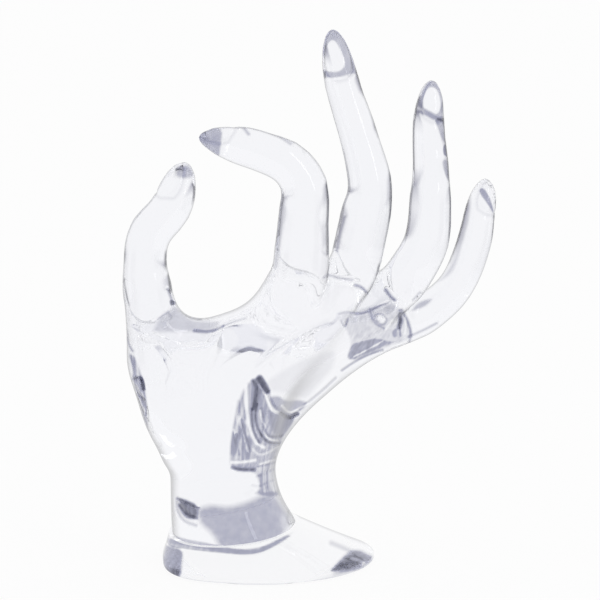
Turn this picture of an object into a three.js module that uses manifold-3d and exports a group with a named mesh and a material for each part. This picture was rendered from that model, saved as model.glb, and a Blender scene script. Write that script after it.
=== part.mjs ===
// A hand-shaped jewellery stand: a clear cast hand whose thumb and index finger curl towards each other to
// make an open ring, with three raised fingers for rings, bonded at the wrist into a flared oval foot.
// Millimetres and degrees. +Z is up, +X runs towards the little finger and -Y towards the thumb and index
// finger. The origin is on the surface that the stand rests on, under the middle of the foot.
import * as THREE from "three";
import { mergeVertices } from "three/addons/utils/BufferGeometryUtils.js";
import Module from "manifold-3d";

// Cement line between bonded sections, and under a nail.
const BOND_GAP = 0.3;

// Foot: an oval that is blunt at the heel and drawn out to a toe, with a skirt that rises to the wrist.
const FOOT_LENGTH = 64;
const FOOT_DEPTH = 58;
const FOOT_HEIGHT = 10.5;
const FOOT_EDGE_HEIGHT = 2.4;
const FOOT_EDGE_ROUND = 1.2;
const HEEL_FULLNESS = 3;
const TOE_FULLNESS = 1.95;
const SKIRT_HOLLOW = 0.3;
const FOOT_SIDES = 48;
const SKIRT_SHARES = [0.2, 0.4, 0.6, 0.8];

// Wrist: an oval column that stands in a shallow seat in the foot, leans back and narrows to its waist.
const SEAT_DEPTH = 2;
const SEAT_RIM = 1;
const COLLAR_X = -10.4;
const COLLAR_WIDTH = 37.6;
const COLLAR_DEPTH = 44;
const COLLAR_SLOPE = 0.08;
const WAIST_X = -13.8;
const WAIST_WIDTH = 31.4;
const WAIST_DEPTH = 39;
const WRIST_HEIGHT = 19.5;
const WRIST_SIDES = 36;
const WRIST_RINGS = 6;

// Palm: how widely neighbouring bones blend, how far the flesh between them lies below them, how far a bone
// runs on past a finger's root before it is cut, how much wider than the root that cut is, and the cell size
// of the skin.
const PALM_BLEND = 5;
const FLESH_INSET = 1.2;
const ROOT_OVERRUN = 8;
const ROOT_CUT_MARGIN = 3;
const SKIN_CELL = 3.2;
// Edges shorter than this that a cut leaves are closed up, and points closer than this count as one.
const LEAST_EDGE = 0.05;
const SAME_POINT = 1e-4;

// Fingers: depth over width of their girth, facets round them and the length of one ring of facets.
const FINGER_ROUNDNESS = 1.05;
const FINGER_SIDES = 18;
const RING_STEP = 3.2;
const TIP_EXTRA_RINGS = 3;
const LINE_DIVISIONS = 400;

// Nails: plates that follow the fingertips, let into beds and standing a little proud of them. The arc is
// half of the girth's angle that a nail covers.
const NAIL_THICKNESS = 0.9;
const NAIL_PROUD = 0.25;
const NAIL_HALF_ARC = 58;
const NAIL_END_ARC = 12;
const NAIL_TIP_INSET = 1;
const NAIL_FULLNESS = 2.6;
const NAIL_RINGS = 9;
const NAIL_FACETS = 8;

// The five rays of the hand, each from the wrist to a fingertip, measured from the middle of the waist's top.
// Bones are [x, y, z, radius], up to the root that the finger is bonded to. Each phalanx has a length, a
// heading from upright towards +X, a lean towards +Y and the width at its far end, and the last one closes in
// a tip. A nail faces an angle round its finger: 0 is the back of the finger and 90 the thumb's side.
const RAYS = [
  {
    finger: "thumb",
    nail: "thumb_nail",
    bones: [
      [-4.7, -4, 3, 10.6],
      [-10.2, -9, 19, 13],
      [-17.2, -14, 35, 10.4],
    ],
    root: [-21.4, -17, 54.3],
    rootWidth: 15.2,
    phalanges: [
      { length: 11.7, heading: -4.4, lean: 0, width: 12.5 },
      { length: 8.1, heading: 9.6, lean: 0, width: 12.4 },
      { length: 9.9, heading: 39.4, lean: 2, width: 12 },
    ],
    tip: { length: 14.8, heading: 17.7, lean: 2, fullness: 1.9 },
    nailFacing: 148,
    nailLength: 10.5,
  },
  {
    finger: "index_finger",
    nail: "index_nail",
    bones: [
      [0.8, -7, 8, 12],
      [5.8, -12, 26, 12],
      [15.9, -15, 45, 10],
    ],
    root: [23.6, -18, 63.1],
    rootWidth: 16.5,
    phalanges: [
      { length: 17.5, heading: 2.9, lean: 0, width: 14.6 },
      { length: 7.4, heading: 3.5, lean: 0, width: 13.4 },
      { length: 8.2, heading: -32.5, lean: 0, width: 12.7 },
      { length: 8.4, heading: -65.5, lean: 1, width: 11.8 },
      { length: 6, heading: -72.5, lean: 1, width: 11.4 },
    ],
    tip: { length: 14.6, heading: -77.8, lean: 1, fullness: 1.5 },
    nailFacing: 24,
    nailLength: 9,
  },
  {
    finger: "middle_finger",
    nail: "middle_nail",
    bones: [
      [1.8, 0, 10, 13],
      [8.8, -4, 27, 12],
      [26.4, -5, 48, 9.6],
    ],
    root: [39.3, -5, 60.3],
    rootWidth: 15,
    phalanges: [
      { length: 17.5, heading: 11.8, lean: 0, width: 14.8 },
      { length: 8.1, heading: 9.6, lean: 0, width: 12.9 },
      { length: 16.3, heading: -12.7, lean: 1, width: 11.2 },
      { length: 15.4, heading: -17.5, lean: 1, width: 10.2 },
    ],
    tip: { length: 17.6, heading: -11.1, lean: 1, fullness: 2 },
    nailFacing: 85,
    nailLength: 13.5,
  },
  {
    finger: "ring_finger",
    nail: "ring_nail",
    bones: [
      [1.8, 4, 8, 13],
      [9.9, 6, 23.5, 12],
      [32.4, 8, 41.3, 9.6],
    ],
    root: [54, 8, 53.3],
    rootWidth: 14.4,
    phalanges: [
      { length: 14.8, heading: 29, lean: 0, width: 13.3 },
      { length: 12.9, heading: 5.3, lean: 1, width: 12.4 },
      { length: 9.8, heading: 1, lean: 1, width: 10.6 },
      { length: 12.3, heading: -3.5, lean: 1, width: 9.5 },
    ],
    tip: { length: 15.2, heading: 3.9, lean: 1, fullness: 2 },
    nailFacing: 66,
    nailLength: 11,
  },
  {
    finger: "little_finger",
    nail: "little_nail",
    bones: [
      [4.3, 6, 13, 13],
      [17.1, 12, 23, 12],
      [32.4, 16, 32.6, 9.8],
      [47, 18.5, 38.4, 8.3],
    ],
    root: [58.8, 20, 40.2],
    rootWidth: 12.6,
    phalanges: [
      { length: 11.2, heading: 53, lean: 2, width: 11.3 },
      { length: 7.6, heading: 36.3, lean: 2, width: 10.8 },
      { length: 12.7, heading: 19.3, lean: 2, width: 10.3 },
      { length: 6.9, heading: 10, lean: 2, width: 9.4 },
    ],
    tip: { length: 12.4, heading: 11.7, lean: 2, fullness: 2 },
    nailFacing: 52,
    nailLength: 9,
  },
];

// The ball of the thumb, which thickens the palm behind the thumb's bones: [x, y, z, radius] from the waist.
const THUMB_BALL = [
  [-6.3, 4.5, 3, 12.3],
  [-11, 4.5, 18.5, 12.2],
  [-15.5, 1.5, 33, 10],
];

// Clear resin with a faint violet cast. The nails are a little deeper in tone.
const CLEAR_RESIN = new THREE.MeshStandardMaterial({ color: 0xf2f2fa, roughness: 0.06, metalness: 0 });
const NAIL_RESIN = new THREE.MeshStandardMaterial({ color: 0xcfcde2, roughness: 0.06, metalness: 0 });

const FULL_TURN = 2 * Math.PI;
const WRIST_TOP = FOOT_HEIGHT + WRIST_HEIGHT;
const WAIST = new THREE.Vector3(WAIST_X, 0, WRIST_TOP);
const wasm = await Module();
wasm.setup();

// A closed skin over rings of equal counts of points, with a fan of facets over each end.
function loft(rings) {
  const count = rings[0].length;
  const points = rings.flat();
  const faces = [];
  for (let k = 0; k + 1 < rings.length; k++) {
    for (let i = 0; i < count; i++) {
      const a = k * count + i;
      const b = k * count + ((i + 1) % count);
      faces.push(a, b, a + count, b, b + count, a + count);
    }
  }
  const middleOf = (ring) => ring.reduce((sum, p) => sum.add(p), new THREE.Vector3()).divideScalar(count);
  const first = points.push(middleOf(rings[0])) - 1;
  const last = points.push(middleOf(rings.at(-1))) - 1;
  for (let i = 0; i < count; i++) {
    const j = (i + 1) % count;
    const end = (rings.length - 1) * count;
    faces.push(first, j, i, last, end + i, end + j);
  }
  return faceOutwards(points, faces);
}

// The geometry of a closed set of triangles, turned so that they face outwards.
function faceOutwards(points, faces) {
  const turned = new THREE.Vector3();
  let volume = 0;
  for (let i = 0; i < faces.length; i += 3) {
    turned.crossVectors(points[faces[i]], points[faces[i + 1]]);
    volume += turned.dot(points[faces[i + 2]]);
  }
  const geometry = new THREE.BufferGeometry().setFromPoints(points);
  return geometry.setIndex(volume < 0 ? faces.reverse() : faces);
}

// An oval ring of points in plan, in a plane that rises by a slope towards +X.
function ovalRing(x, z, width, depth, slope, sides) {
  return Array.from({ length: sides }, (_, i) => {
    const turn = (FULL_TURN * i) / sides;
    const across = (width / 2) * Math.cos(turn);
    return new THREE.Vector3(x + across, (depth / 2) * Math.sin(turn), z + across * slope);
  });
}

// Geometry to and from a solid that can be joined and cut.
function solidOf(geometry) {
  const bare = geometry.clone();
  bare.deleteAttribute("normal");
  bare.deleteAttribute("uv");
  const merged = mergeVertices(bare, SAME_POINT);
  const triVerts = new Uint32Array(merged.index.array);
  return new wasm.Manifold(
    new wasm.Mesh({ numProp: 3, vertProperties: merged.attributes.position.array, triVerts }),
  );
}

function geometryOf(solid) {
  const mesh = solid.getMesh();
  const geometry = new THREE.BufferGeometry();
  geometry.setAttribute("position", new THREE.BufferAttribute(mesh.vertProperties, 3));
  geometry.setIndex(new THREE.BufferAttribute(mesh.triVerts, 1));
  const merged = mergeVertices(geometry, LEAST_EDGE);
  const faces = new Map();
  for (let i = 0; i < merged.index.count; i += 3) {
    const face = [0, 1, 2].map((k) => merged.index.getX(i + k));
    if (new Set(face).size < 3) continue;
    const corners = [...face].sort((a, b) => a - b).join();
    if (!faces.delete(corners)) faces.set(corners, face);
  }
  return merged.setIndex([...faces.values()].flat());
}

// Foot

// The collar's oval at a height, this much wider than the wrist.
function collarRing(z, wider, sides) {
  return ovalRing(COLLAR_X, z, COLLAR_WIDTH + wider, COLLAR_DEPTH + wider, COLLAR_SLOPE, sides);
}

// The foot's outline in plan: a superellipse that is fuller at the heel than at the toe.
function footOutline(z, inset) {
  return Array.from({ length: FOOT_SIDES }, (_, i) => {
    const turn = (FULL_TURN * i) / FOOT_SIDES;
    const [c, s] = [Math.cos(turn), Math.sin(turn)];
    const power = 2 / (c > 0 ? TOE_FULLNESS : HEEL_FULLNESS);
    const x = Math.sign(c) * Math.abs(c) ** power * (FOOT_LENGTH / 2 - inset);
    const y = Math.sign(s) * Math.abs(s) ** power * (FOOT_DEPTH / 2 - inset);
    return new THREE.Vector3(x, y, z);
  });
}

function footGeometry() {
  const brim = 2 * (BOND_GAP + SEAT_RIM);
  const edge = footOutline(FOOT_EDGE_HEIGHT, 0);
  const top = collarRing(FOOT_HEIGHT, brim, FOOT_SIDES);
  const skirt = SKIRT_SHARES.map((share) =>
    edge.map((p, i) => {
      const hollow = new THREE.Vector3(0, 0, 4 * SKIRT_HOLLOW * share * (1 - share));
      return p.clone().lerp(top[i], share).sub(hollow);
    }),
  );
  const body = loft([footOutline(0, FOOT_EDGE_ROUND), footOutline(FOOT_EDGE_ROUND, 0), edge, ...skirt, top]);
  const seat = loft([
    collarRing(FOOT_HEIGHT - SEAT_DEPTH, 2 * BOND_GAP, WRIST_SIDES),
    collarRing(FOOT_HEIGHT + SEAT_DEPTH, 2 * BOND_GAP, WRIST_SIDES),
  ]);
  return geometryOf(solidOf(body).subtract(solidOf(seat)));
}

// Wrist

function wristGeometry() {
  const rings = [collarRing(FOOT_HEIGHT - SEAT_DEPTH + BOND_GAP, 0, WRIST_SIDES)];
  for (let k = 0; k <= WRIST_RINGS; k++) {
    const rise = k / WRIST_RINGS;
    const ease = 1 - (1 - rise) ** 2;
    const mix = (collar, waist) => THREE.MathUtils.lerp(collar, waist, ease);
    const [width, depth] = [mix(COLLAR_WIDTH, WAIST_WIDTH), mix(COLLAR_DEPTH, WAIST_DEPTH)];
    const height = FOOT_HEIGHT + rise * WRIST_HEIGHT;
    rings.push(ovalRing(mix(COLLAR_X, WAIST_X), height, width, depth, mix(COLLAR_SLOPE, 0), WRIST_SIDES));
  }
  return loft(rings);
}

// Fingers

// The unit direction of a heading from upright towards +X and a lean towards +Y.
function direction({ heading, lean }) {
  const [h, l] = [THREE.MathUtils.degToRad(heading), THREE.MathUtils.degToRad(lean)];
  return new THREE.Vector3(Math.sin(h) * Math.cos(l), Math.sin(l), Math.cos(h) * Math.cos(l));
}

// A finger's middle line from its root, and its width at a share of that line's length.
class Finger {
  constructor(ray) {
    const heading = direction(ray.phalanges[0]);
    const joints = [new THREE.Vector3(...ray.root).add(WAIST).addScaledVector(heading, BOND_GAP)];
    this.stations = [{ at: 0, width: ray.rootWidth }];
    for (const bone of [...ray.phalanges, ray.tip]) {
      joints.push(joints.at(-1).clone().addScaledVector(direction(bone), bone.length));
      this.stations.push({ at: this.stations.at(-1).at + bone.length, width: bone.width });
    }
    this.line = new THREE.CatmullRomCurve3(joints);
    this.line.arcLengthDivisions = LINE_DIVISIONS;
    this.chain = this.stations.at(-1).at;
    this.tip = ray.tip;
  }

  // Half of the finger's width at a share of its length.
  halfWidth(share) {
    const along = share * this.chain;
    const last = this.stations.length - 2;
    if (along >= this.stations[last].at) {
      const reach = Math.min(1, (along - this.stations[last].at) / this.tip.length);
      const { fullness } = this.tip;
      return (this.stations[last].width / 2) * (1 - reach ** fullness) ** (1 / fullness);
    }
    const k = this.stations.findIndex((s, i) => along < this.stations[i + 1].at);
    const [a, b] = [this.stations[k], this.stations[k + 1]];
    return THREE.MathUtils.lerp(a.width, b.width, THREE.MathUtils.smoothstep(along, a.at, b.at)) / 2;
  }

  // The point on the finger's skin, or off it, at a share of its length and an angle round it.
  skin(share, angle, off) {
    const tangent = this.line.getTangentAt(share);
    const back = new THREE.Vector3(0, 1, 0).cross(tangent).normalize();
    const front = back.clone().cross(tangent);
    const half = this.halfWidth(share);
    return this.line
      .getPointAt(share)
      .addScaledVector(back, (half + off) * Math.cos(angle))
      .addScaledVector(front, (half * FINGER_ROUNDNESS + off) * Math.sin(angle));
  }

  // Shares of the length for its rings: even along the finger, and closer together as the tip rounds over.
  ringShares() {
    const tipStart = 1 - this.tip.length / this.chain;
    const shares = [];
    const steps = Math.ceil((tipStart * this.chain) / RING_STEP);
    for (let k = 0; k < steps; k++) {
      shares.push((tipStart * k) / steps);
    }
    const tipSteps = Math.ceil(this.tip.length / RING_STEP) + TIP_EXTRA_RINGS;
    for (let k = 0; k < tipSteps; k++) {
      shares.push(tipStart + (1 - tipStart) * Math.sin((Math.PI / 2) * (k / tipSteps)));
    }
    return shares;
  }

  geometry(ray) {
    const turns = Array.from({ length: FINGER_SIDES }, (_, i) => (FULL_TURN * i) / FINGER_SIDES);
    const body = loft(this.ringShares().map((share) => turns.map((turn) => this.skin(share, turn, 0))));
    const bed = this.plate(ray, NAIL_PROUD - NAIL_THICKNESS - BOND_GAP, NAIL_THICKNESS, BOND_GAP);
    return geometryOf(solidOf(body).subtract(solidOf(bed)));
  }

  nailGeometry(ray) {
    return this.plate(ray, NAIL_PROUD - NAIL_THICKNESS, NAIL_PROUD, 0);
  }

  // A bent plate over the nail's place, between two depths off the skin and wider all round by a margin.
  // Its rings run out along the top and back along the underside.
  plate(ray, low, high, margin) {
    const end = 1 - NAIL_TIP_INSET / this.chain;
    const start = end - ray.nailLength / this.chain;
    const facing = THREE.MathUtils.degToRad(ray.nailFacing);
    const rings = Array.from({ length: NAIL_RINGS }, (_, k) => {
      const u = k / (NAIL_RINGS - 1);
      const share = THREE.MathUtils.lerp(start, end, u) + ((2 * u - 1) * margin) / this.chain;
      const swell = (1 - Math.abs(2 * u - 1) ** NAIL_FULLNESS) ** (1 / NAIL_FULLNESS);
      const half = THREE.MathUtils.degToRad(THREE.MathUtils.lerp(NAIL_END_ARC, NAIL_HALF_ARC, swell));
      const arc = half + margin / this.halfWidth(share);
      const across = Array.from({ length: NAIL_FACETS + 1 }, (_, i) => (2 * i) / NAIL_FACETS - 1);
      const turns = across.map((side) => facing + arc * side);
      const top = turns.map((turn) => this.skin(share, turn, high));
      const under = turns.map((turn) => this.skin(share, turn, low)).reverse();
      return [...top, ...under];
    });
    return loft(rings);
  }
}

// Palm

// Distance from a point to a cone with round ends, between two bones' ends with a place and a radius.
function boneDistance(point, from, to) {
  const axis = to.place.clone().sub(from.place);
  const rest = point.clone().sub(from.place);
  const share = THREE.MathUtils.clamp(axis.dot(rest) / axis.lengthSq(), 0, 1);
  return rest.addScaledVector(axis, -share).length() - THREE.MathUtils.lerp(from.radius, to.radius, share);
}

// The lesser of two distances, rounded over where they are close.
function blended(a, b) {
  const near = Math.max(0, PALM_BLEND - Math.abs(a - b)) / PALM_BLEND;
  return Math.min(a, b) - (near * near * PALM_BLEND) / 4;
}

// Bones' ends from [x, y, z, radius] measured from the waist.
function boneEnds(bones) {
  return bones.map(([x, y, z, radius]) => ({ place: new THREE.Vector3(x, y, z).add(WAIST), radius }));
}

// The chain of bones of a ray, run on a little past the finger's root.
function boneChain(ray) {
  const over = direction(ray.phalanges[0]).multiplyScalar(ROOT_OVERRUN).add(new THREE.Vector3(...ray.root));
  const half = ray.rootWidth / 2;
  return boneEnds([...ray.bones, [...ray.root, half], [...over.toArray(), half]]);
}

// The flesh between two chains of bones, as triangles stretched over the ends of the bones.
function fleshBetween(bones, next) {
  const [near, far] = [boneEnds(bones), boneEnds(next)];
  const levels = Math.min(near.length, far.length) - 1;
  return Array.from({ length: levels }, (_, k) => [
    [near[k], far[k], far[k + 1]],
    [near[k], far[k + 1], near[k + 1]],
  ]).flat();
}

// Distance from a point to the flesh over three bones' ends.
function fleshDistance(point, ends) {
  const triangle = new THREE.Triangle(...ends.map(({ place }) => place));
  const nearest = triangle.closestPointToPoint(point, new THREE.Vector3());
  const shares = triangle.getBarycoord(nearest, new THREE.Vector3());
  const radii = new THREE.Vector3(...ends.map(({ radius }) => radius));
  return nearest.distanceTo(point) - shares.dot(radii) + FLESH_INSET;
}

// The waist's oval column, as a bone in a space that is squeezed until the oval is round.
const SQUEEZE = new THREE.Vector3(1, WAIST_WIDTH / WAIST_DEPTH, 1);
const COLUMN = boneEnds([
  [0, 0, -SKIN_CELL, WAIST_WIDTH / 2],
  [0, 0, SKIN_CELL, WAIST_WIDTH / 2],
]);

// Distance from a point to the skin of the palm, with the wrist's waist running in from below.
function palmDistance(point, chains, flesh) {
  const column = boneDistance(point.clone().multiply(SQUEEZE), ...COLUMN);
  const bones = chains.reduce((distance, chain) => {
    const chainBones = chain.slice(1).map((end, k) => boneDistance(point, chain[k], end));
    return blended(distance, Math.min(...chainBones));
  }, column);
  return blended(bones, Math.min(...flesh.map((ends) => fleshDistance(point, ends))));
}

// Distances on a grid over a box, and the closed skin where they pass through zero.
class SkinGrid {
  constructor(distance, box) {
    this.low = box.min.clone().subScalar(SKIN_CELL);
    this.counts = box
      .getSize(new THREE.Vector3())
      .toArray()
      .map((size) => Math.ceil(size / SKIN_CELL) + 2);
    this.strides = [1, this.counts[0], this.counts[0] * this.counts[1]];
    this.values = [];
    this.each((cell) => this.values.push(distance(this.corner(cell))));
  }

  // Calls a function with each grid corner's place in the grid and its number.
  each(visit) {
    for (let k = 0; k < this.counts[2]; k++) {
      for (let j = 0; j < this.counts[1]; j++) {
        for (let i = 0; i < this.counts[0]; i++) {
          visit([i, j, k], i + j * this.strides[1] + k * this.strides[2]);
        }
      }
    }
  }

  corner([i, j, k]) {
    return new THREE.Vector3(i, j, k).multiplyScalar(SKIN_CELL).add(this.low);
  }

  // Where the skin would touch itself along an edge, takes in the nearer of the two outer corners.
  fillTouching() {
    let filled = 0;
    this.each((cell, at) => {
      for (let axis = 0; axis < 3; axis++) {
        const [u, v] = [(axis + 1) % 3, (axis + 2) % 3];
        if (cell[u] + 1 >= this.counts[u] || cell[v] + 1 >= this.counts[v]) continue;
        const [du, dv] = [this.strides[u], this.strides[v]];
        const square = [at, at + du, at + du + dv, at + dv];
        const [a, b, c, d] = square.map((q) => this.values[q] < 0);
        if (a === b || a !== c || b !== d) continue;
        const [p, q] = a ? [square[1], square[3]] : [square[0], square[2]];
        this.values[this.values[p] < this.values[q] ? p : q] = -LEAST_EDGE;
        filled++;
      }
    });
    return filled;
  }

  // The middle of the places where the skin crosses a cell's edges, or null if it misses the cell.
  crossing(cell, at) {
    const sum = new THREE.Vector3();
    let crossings = 0;
    for (let c = 0; c < 8; c++) {
      const step = [c & 1, (c >> 1) & 1, c >> 2];
      const from = at + step.reduce((total, s, axis) => total + s * this.strides[axis], 0);
      for (let axis = 0; axis < 3; axis++) {
        const [near, far] = [this.values[from], this.values[from + this.strides[axis]]];
        if (step[axis] || near < 0 === far < 0) continue;
        const place = this.corner(cell.map((index, i) => index + step[i]));
        place.setComponent(axis, place.getComponent(axis) + (SKIN_CELL * near) / (near - far));
        sum.add(place);
        crossings++;
      }
    }
    return crossings ? sum.divideScalar(crossings) : null;
  }

  // One point in each cell that the skin passes through, joined round each grid edge that it crosses.
  geometry() {
    while (this.fillTouching());
    const points = [];
    const pointOf = new Map();
    this.each((cell, at) => {
      const inGrid = cell.every((index, axis) => index + 1 < this.counts[axis]);
      const place = inGrid && this.crossing(cell, at);
      if (place) pointOf.set(at, points.push(place) - 1);
    });
    const faces = [];
    this.each((cell, at) => {
      for (let axis = 0; axis < 3; axis++) {
        const [u, v] = [(axis + 1) % 3, (axis + 2) % 3];
        if (cell[axis] + 1 >= this.counts[axis]) continue;
        const inside = this.values[at] < 0;
        if (inside === this.values[at + this.strides[axis]] < 0) continue;
        const [du, dv] = [this.strides[u], this.strides[v]];
        const [a, b, c, d] = [at, at - du, at - du - dv, at - dv].map((q) => pointOf.get(q));
        faces.push(...(inside ? [a, b, c, a, c, d] : [a, c, b, a, d, c]));
      }
    });
    return faceOutwards(points, faces);
  }
}

// The palm: its skin, cut level at the wrist and square at the root of each finger. Flesh runs from ray to
// ray and back over the ball of the thumb.
function palmGeometry() {
  const chains = RAYS.map(boneChain);
  const round = [...RAYS.map(({ bones }) => bones), THUMB_BALL];
  const flesh = round.flatMap((bones, k) => fleshBetween(bones, round[(k + 1) % round.length]));
  const box = new THREE.Box3();
  for (const { place, radius } of [...chains.flat(), ...COLUMN]) {
    const reach = (radius * WAIST_DEPTH) / WAIST_WIDTH + PALM_BLEND;
    box.expandByPoint(place.clone().addScalar(reach));
    box.expandByPoint(place.clone().subScalar(reach));
  }
  let palm = solidOf(new SkinGrid((point) => palmDistance(point, chains, flesh), box).geometry());
  const size = box.getSize(new THREE.Vector3());
  const below = new THREE.BoxGeometry(2 * size.x, 2 * size.y, 2 * size.z);
  below.translate(WAIST.x, WAIST.y, WAIST.z + BOND_GAP - size.z);
  palm = palm.subtract(solidOf(below));
  for (const ray of RAYS) {
    const heading = direction(ray.phalanges[0]);
    const length = 2 * ROOT_OVERRUN + ray.rootWidth;
    const radius = ray.rootWidth / 2 + ROOT_CUT_MARGIN;
    const cut = new THREE.CylinderGeometry(radius, radius, length, FINGER_SIDES);
    cut.translate(0, length / 2, 0);
    cut.applyQuaternion(new THREE.Quaternion().setFromUnitVectors(new THREE.Vector3(0, 1, 0), heading));
    cut.translate(...new THREE.Vector3(...ray.root).add(WAIST).toArray());
    palm = palm.subtract(solidOf(cut));
  }
  return geometryOf(palm);
}

// The stand, each section a mesh of its own.
const stand = new THREE.Group();

function addSection(name, geometry, material) {
  const mesh = new THREE.Mesh(geometry, material);
  mesh.name = name;
  stand.add(mesh);
}

addSection("foot", footGeometry(), CLEAR_RESIN);
addSection("wrist", wristGeometry(), CLEAR_RESIN);
addSection("palm", palmGeometry(), CLEAR_RESIN);
for (const ray of RAYS) {
  const finger = new Finger(ray);
  addSection(ray.finger, finger.geometry(ray), CLEAR_RESIN);
  addSection(ray.nail, finger.nailGeometry(ray), NAIL_RESIN);
}

export default stand;
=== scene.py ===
"""Looks of a clear cast hand jewellery stand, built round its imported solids.

Sizes are in millimetres and become metres where they meet a mesh. A line or patch on a piece is given as it
is seen from the front, by how far across and how far up its points lie.
"""

import logging
import math
from collections.abc import Sequence
from dataclasses import dataclass, field
from enum import Enum

import bmesh
import bpy
import numpy as np
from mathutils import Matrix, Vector
from mathutils.bvhtree import BVHTree


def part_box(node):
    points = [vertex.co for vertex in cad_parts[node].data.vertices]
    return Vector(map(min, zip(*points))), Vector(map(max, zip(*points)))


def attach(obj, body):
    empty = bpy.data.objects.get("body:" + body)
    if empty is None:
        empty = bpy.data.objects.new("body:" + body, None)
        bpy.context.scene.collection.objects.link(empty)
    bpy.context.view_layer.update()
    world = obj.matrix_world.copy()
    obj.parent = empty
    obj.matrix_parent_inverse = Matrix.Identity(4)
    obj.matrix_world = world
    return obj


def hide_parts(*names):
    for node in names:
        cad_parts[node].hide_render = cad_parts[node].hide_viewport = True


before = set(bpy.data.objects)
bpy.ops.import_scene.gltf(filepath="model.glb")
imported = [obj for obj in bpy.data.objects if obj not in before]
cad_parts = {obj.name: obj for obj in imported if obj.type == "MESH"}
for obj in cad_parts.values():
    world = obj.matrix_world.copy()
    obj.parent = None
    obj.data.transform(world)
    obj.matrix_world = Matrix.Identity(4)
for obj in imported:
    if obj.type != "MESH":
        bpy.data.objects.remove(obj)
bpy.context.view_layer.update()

Path = tuple[tuple[float, float], ...]
Place = tuple[float, float, float]
Colour = tuple[float, float, float, float]
Stops = tuple[tuple[float, Colour], ...]

MM = 0.001
ROOT_BODY = "root"
VIEW_RISE = math.radians(12.0)
SIGHT_FALL = math.tan(VIEW_RISE)
# The attributes that hold a skin's painted shade and its painted streaks of shade and highlight, and the
# deepest painted shade.
SHADE_ATTRIBUTE = "bloom"
STREAK = "streak"
DEEPEST = 2.0
# The number of a Mix node's colour output.
MIXED_COLOUR = 2
# How fast the painted shade rises from a piece's outline to its near side.
NEAR_RISE = 8.0
# How much of each end of a stretch is cut off when a drawn line is rounded, and how often.
CORNER_CUT = 0.25
CORNER_PASSES = 2
# How far the finer skin reaches past a line and past a patch's edge.
LINE_MARGIN = 0.5
EDGE_MARGIN = 1.0
# Weights up to this, and squared lengths below this, count as none.
NO_WEIGHT = 0.002
NO_LENGTH = 1e-9
WHITE: Colour = (1.0, 1.0, 1.0, 1.0)
FLAG: Colour = (0.16, 0.16, 0.19, 1.0)
DUSK: Colour = (0.3, 0.3, 0.38, 1.0)

log = logging.getLogger("jewellery_stand")


class Slot(Enum):
    """The record's material slots."""

    HAND = "clear_hand"
    FOOT = "clear_foot"


class Socket:
    """A shader socket that takes part in Python arithmetic."""

    def __init__(self, shader: "Shader", output: bpy.types.NodeSocket) -> None:
        """Wraps one output of a node of the shader."""
        self.shader = shader
        self.output = output

    def _math(self, operation: str, first: "Socket | float", second: "Socket | float") -> "Socket":
        """Returns the value of a new Math node."""
        return self.shader.node("ShaderNodeMath", {"operation": operation}, {0: first, 1: second})

    def __add__(self, other: "Socket | float") -> "Socket":
        """Returns the sum."""
        return self._math("ADD", self, other)

    __radd__ = __add__

    def __sub__(self, other: "Socket | float") -> "Socket":
        """Returns the difference."""
        return self._math("SUBTRACT", self, other)

    def __rsub__(self, other: float) -> "Socket":
        """Returns a number less this value."""
        return self._math("SUBTRACT", other, self)

    def __mul__(self, other: "Socket | float") -> "Socket":
        """Returns the product."""
        return self._math("MULTIPLY", self, other)

    __rmul__ = __mul__

    def most(self, other: "Socket | float") -> "Socket":
        """Returns the greater of two values."""
        return self._math("MAXIMUM", self, other)

    def size(self) -> "Socket":
        """Returns the value without its sign."""
        return self._math("ABSOLUTE", self, 0.0)


class Shader:
    """Builds a node tree from Python expressions."""

    def __init__(self, tree: bpy.types.NodeTree) -> None:
        """Empties the node tree of a material or world."""
        self.tree = tree
        tree.nodes.clear()

    def node(
        self,
        kind: str,
        settings: dict[str, object] | None = None,
        inputs: dict[int | str, object] | None = None,
        output: int | str = 0,
    ) -> Socket:
        """Adds one node.

        Args:
            kind: The node's type.
            settings: Attributes to set first; a ramp's stops go under "stops".
            inputs: Values or sockets by the input's name or number.
            output: The output to hand back, by name or number.

        Returns:
            The output, wrapped.
        """
        made = self.tree.nodes.new(kind)
        for name, value in (settings or {}).items():
            if name == "stops":
                ramp = made.color_ramp
                for place, colour in value:
                    stop = ramp.elements[0] if place == value[0][0] else ramp.elements.new(place)
                    stop.position = place
                    stop.color = colour
                ramp.elements.remove(ramp.elements[-1])
            else:
                setattr(made, name, value)
        for key, value in (inputs or {}).items():
            if isinstance(value, Socket):
                self.tree.links.new(value.output, made.inputs[key])
            else:
                made.inputs[key].default_value = value
        return Socket(self, made.outputs[output] if made.outputs else None)

    def noise(self, place: Socket, scale: float, detail: float, bend: float = 0.0) -> Socket:
        """Returns a noise over a place, bent out of its grid."""
        looks = {"Vector": place, "Scale": scale, "Detail": detail, "Distortion": bend}
        return self.node("ShaderNodeTexNoise", inputs=looks)

    def rising(self, value: Socket, start: float, full: float) -> Socket:
        """Returns a smooth rise, 0 up to the start and 1 from the full value on."""
        span = {"Value": value, "From Min": start, "From Max": full}
        return self.node("ShaderNodeMapRange", {"interpolation_type": "SMOOTHSTEP"}, span)

    def mix(
        self, share: Socket | float, first: Socket | Colour, second: Socket | Colour, blend: str = "MIX"
    ) -> Socket:
        """Returns two colours blended by the second one's share."""
        colours = {"Factor": share, "A": first, "B": second}
        return self.node("ShaderNodeMix", {"data_type": "RGBA", "blend_type": blend}, colours, MIXED_COLOUR)


def shows_backdrop(shader: Shader) -> Socket:
    """Whether a ray is one that shows the backdrop.

    Args:
        shader: The node builder.

    Returns:
        1 for camera, glossy and transmitted rays, and 0 for the rest.
    """
    camera = shader.node("ShaderNodeLightPath", output="Is Camera Ray")
    glossy = shader.node("ShaderNodeLightPath", output="Is Glossy Ray")
    through = shader.node("ShaderNodeLightPath", output="Is Transmission Ray")
    return camera.most(glossy).most(through)


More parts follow.
